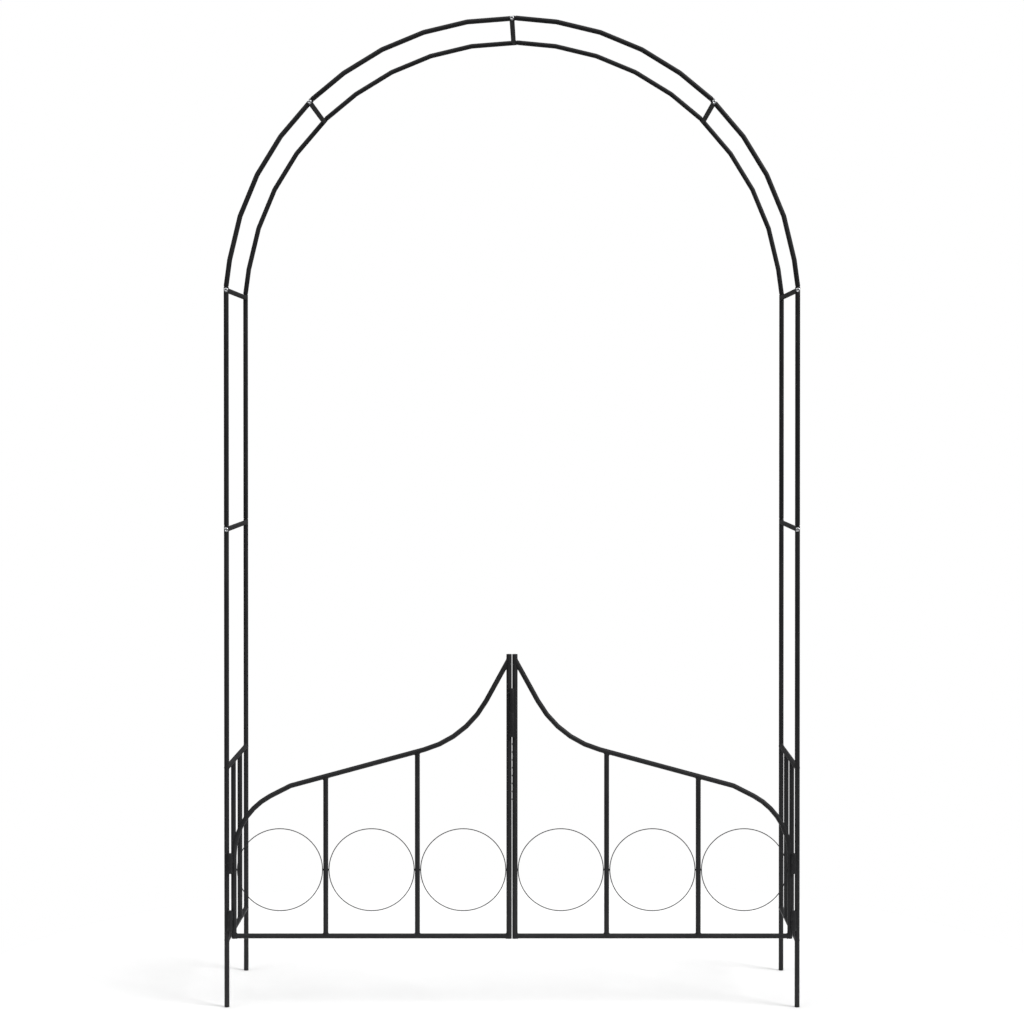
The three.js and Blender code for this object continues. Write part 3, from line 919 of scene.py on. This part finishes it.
# ---- latch ----
def make_latch():
    axis = Vector((0, middle("latch_keeper").y, 0))
    stiles = {name: Vector((side * INNER_STILE_OFFSET, PLANES["front"], 0)) for name, side in SIDES}
    barrels = {}
    for node, leaf in (("latch_keeper", "right"), ("latch_sleeve", "left")):
        low, high = low_corner(node).z, high_corner(node).z
        rings = turned(barrel_profile(high - low, KNUCKLE_RADIUS, LATCH_BORE_RADIUS))
        place = axis + low * Z
        barrels[node] = place_turned(f"{node}_barrel", rings, True, BLACK, f"{leaf}_leaf", place, Z,
                                     nodes=[node])
        welds = Shape()
        for start in (low + LATCH_WELD_INSET, high - (LATCH_WELD_INSET + LATCH_WELD_LENGTH)):
            spot = notch(axis, KNUCKLE_RADIUS, stiles[leaf], STILE_RADIUS, BEAD_RADIUS)
            add_seam_weld(welds, spot, start, LATCH_WELD_LENGTH)
        make_piece(f"{node}_welds", welds, BLACK, f"{leaf}_leaf")

    angle = math.radians(KNOB_DIRECTION)
    outwards = Vector((math.cos(angle), math.sin(angle), 0))
    knob_height = middle("latch_knob").z
    width = KNOB_RADIUS + SLOT_CLEARANCE
    sleeve = barrels["latch_sleeve"]
    cut_with(sleeve, latch_slot(sleeve, outwards, knob_height, width))

    low, high = low_corner("latch_bolt").z, high_corner("latch_bolt").z
    rings = turned(latch_bolt_profile(high - low))
    place_turned("latch_bolt_rod", rings, False, ZINC, "latch_bolt", axis + low * Z, Z,
                 nodes=["latch_bolt"])
    root = axis + knob_height * Z
    place_turned("latch_knob_grip", knob_rings(), False, BLACK, "latch_bolt", root, outwards,
                 nodes=["latch_knob"])


def latch_bolt_profile(length):
    """The outline of a rod with a tapered lower end and an eased upper one, as (radius, height) pairs."""
    radius = LATCH_BOLT_RADIUS
    return [
        (0.5, 0), (radius - 1.2, 0), (radius - 1.0, 0.15), (radius - 0.1, 1.8), (radius, 2.1),
        (radius, length - 0.6), (radius - 0.15, length - 0.15), (radius - 0.6, length), (0.5, length),
    ]


def latch_slot(sleeve, outwards, knob_height, half_width):
    """The upright slot with round ends that the knob slides in, from inside the bore outwards."""
    outline = []
    for end, first in ((knob_height, 0), (knob_height - LATCH_TRAVEL, 180)):
        for i in range(SLOT_STEPS + 1):
            angle = math.radians(first + 180 * i / SLOT_STEPS)
            outline.append((half_width * math.cos(angle), end + half_width * math.sin(angle)))
    side = Z.cross(outwards)
    base = sleeve.matrix_world.translation / MM
    rings = []
    for reach in (0.5, 2 * KNUCKLE_RADIUS):
        start = Vector((base.x, base.y, 0)) + reach * outwards
        rings.append([start + off * side + height * Z for off, height in outline])
    return Shape().add_rings(rings)


def knob_rings():
    """A turned knob with a knurled grip. Its root is on the bolt's axis."""
    thread = KNOB_THREAD_RADIUS
    stud = [(thread - 0.2, TOUCH_GAP), (thread, TOUCH_GAP + 0.2), (thread, 3.4)]
    collar = [(KNOB_RADIUS - 0.2, 3.5), (KNOB_RADIUS, 3.7), (KNOB_RADIUS, 6.6), (KNOB_RADIUS - 0.35, 6.9)]
    rings = turned(stud + collar)
    for height in (7.2, 8.4, 9.6):
        ring = []
        for i in range(SMALL_SIDES):
            angle = 2 * math.pi * i / SMALL_SIDES
            radius = KNOB_RADIUS - KNURL_DEPTH * (1 - math.cos(KNURL_GROOVES * angle))
            ring.append(Vector((radius * math.cos(angle), radius * math.sin(angle), height)))
        rings.append(ring)
    return rings + turned([(KNOB_RADIUS - 0.15, 10.2), (KNOB_RADIUS - 0.6, 10.8), (0.5, KNOB_REACH)])


def make_stop_beads():
    """Weld beads on the right inner stile, below the latch, which keep the closed stiles apart."""
    beads = Shape()
    place = Vector((INNER_STILE_OFFSET - STILE_RADIUS, PLANES["front"], 0))
    for i in range(STOP_COUNT):
        height = low_corner("latch_keeper").z - STOP_PITCH * (i + 1)
        add_seam_weld(beads, place, height - STOP_LENGTH / 2, STOP_LENGTH, TACK_RADIUS)
    make_piece("right_gate_stop_beads", beads, BLACK, "right_leaf")


# ---- assembly ----
for plane_name, plane in PLANES.items():
    for side_name, side in SIDES:
        make_hoop_side(f"{plane_name}_{side_name}", side, plane)
    make_fasteners(plane_name, plane)
make_rungs()
for side_name, side in SIDES:
    make_side_panel(side_name, side)
    make_leaf(side_name, side)
    make_hinges(side_name, side)
make_latch()
make_stop_beads()


# ---- floor, light and camera, in metres ----
FLOOR_RADIUS = 1.4
FLOOR_SIDES = 96
FLOOR_DROP = 0.0005             # below the feet
FLOOR_COLOURS = ((0.86, 0.86, 0.86), (0.88, 0.88, 0.88))
FLOOR_ROUGHNESS = 0.9
FLOOR_SPECULAR = 0.1
MOTTLE_SCALE = 3

WORLD_LIGHT = 0.14
WORLD_SEEN = 1.0
# Each light's name, azimuth and elevation in degrees, strength, and width in degrees.
SUNS = (
    ("top_light", 20, 80, 2.2, 120),
    ("key_light", 60, 36, 1.9, 25),
    ("fill_light", -55, 40, 0.4, 40),
)

LENS_LENGTH = 85.93             # in millimetres, as is the sensor
SENSOR_WIDTH = 36
LENS_SHIFT = (-0.0254, -0.075)
CAMERA_PLACE = (0.0624, -6.0415, 1.4233)
CAMERA_DIP = 0.505              # degrees below level
CLIP_END = 200


def make_floor():
    """A pale round floor under the feet."""
    floor_material, nodes, links, shader = new_material("pale_floor")
    place = nodes.new("ShaderNodeTexCoord").outputs["Object"]
    mottle = noise(nodes, links, place, MOTTLE_SCALE, detail=4, roughness=0.6)
    links.new(two_colours(nodes, links, mottle, *FLOOR_COLOURS), shader.inputs["Base Color"])
    shader.inputs["Roughness"].default_value = FLOOR_ROUGHNESS
    shader.inputs["Specular IOR Level"].default_value = FLOOR_SPECULAR
    mesh = bpy.data.meshes.new("floor")
    mesh.from_pydata(ring_at(Vector(), X, Y, FLOOR_RADIUS, FLOOR_SIDES), [], [tuple(range(FLOOR_SIDES))])
    mesh.materials.append(floor_material)
    floor = bpy.data.objects.new("floor", mesh)
    floor.location.z = cad_low.z - FLOOR_DROP
    bpy.context.scene.collection.objects.link(floor)


def add_sun(name, azimuth, elevation, strength, width):
    """A soft light from an azimuth, where 0 is the gate side, and an elevation in degrees."""
    lamp = bpy.data.lights.new(name, "SUN")
    lamp.energy = strength
    lamp.angle = math.radians(width)
    light = bpy.data.objects.new(name, lamp)
    light.rotation_euler = Euler((math.radians(90 - elevation), 0, math.radians(azimuth)))
    bpy.context.scene.collection.objects.link(light)


def light_scene():
    """A white studio: the sky that is seen is white, and the light that it gives is softer."""
    world = bpy.data.worlds.new("studio")
    world.use_nodes = True
    nodes, links = world.node_tree.nodes, world.node_tree.links
    background = nodes["Background"]
    background.inputs["Color"].default_value = (1, 1, 1, 1)
    seen = nodes.new("ShaderNodeLightPath").outputs["Is Camera Ray"]
    strength = nodes.new("ShaderNodeMapRange")
    strength.inputs["To Min"].default_value = WORLD_LIGHT
    strength.inputs["To Max"].default_value = WORLD_SEEN
    links.new(seen, strength.inputs["Value"])
    links.new(strength.outputs["Result"], background.inputs["Strength"])
    bpy.context.scene.world = world
    for sun in SUNS:
        add_sun(*sun)
    bpy.context.scene.view_settings.view_transform = "Standard"


def make_camera():
    """The photograph's view. A level camera needs more shift, and then other views lose the crown."""
    lens = bpy.data.cameras.new("camera")
    lens.lens = LENS_LENGTH
    lens.sensor_width = SENSOR_WIDTH
    lens.shift_x, lens.shift_y = LENS_SHIFT
    lens.clip_end = CLIP_END
    camera = bpy.data.objects.new("camera", lens)
    camera.location = CAMERA_PLACE
    camera.rotation_euler = Euler((math.radians(90 - CAMERA_DIP), 0, 0))
    bpy.context.scene.collection.objects.link(camera)
    bpy.context.scene.camera = camera


make_floor()
light_scene()
make_camera()
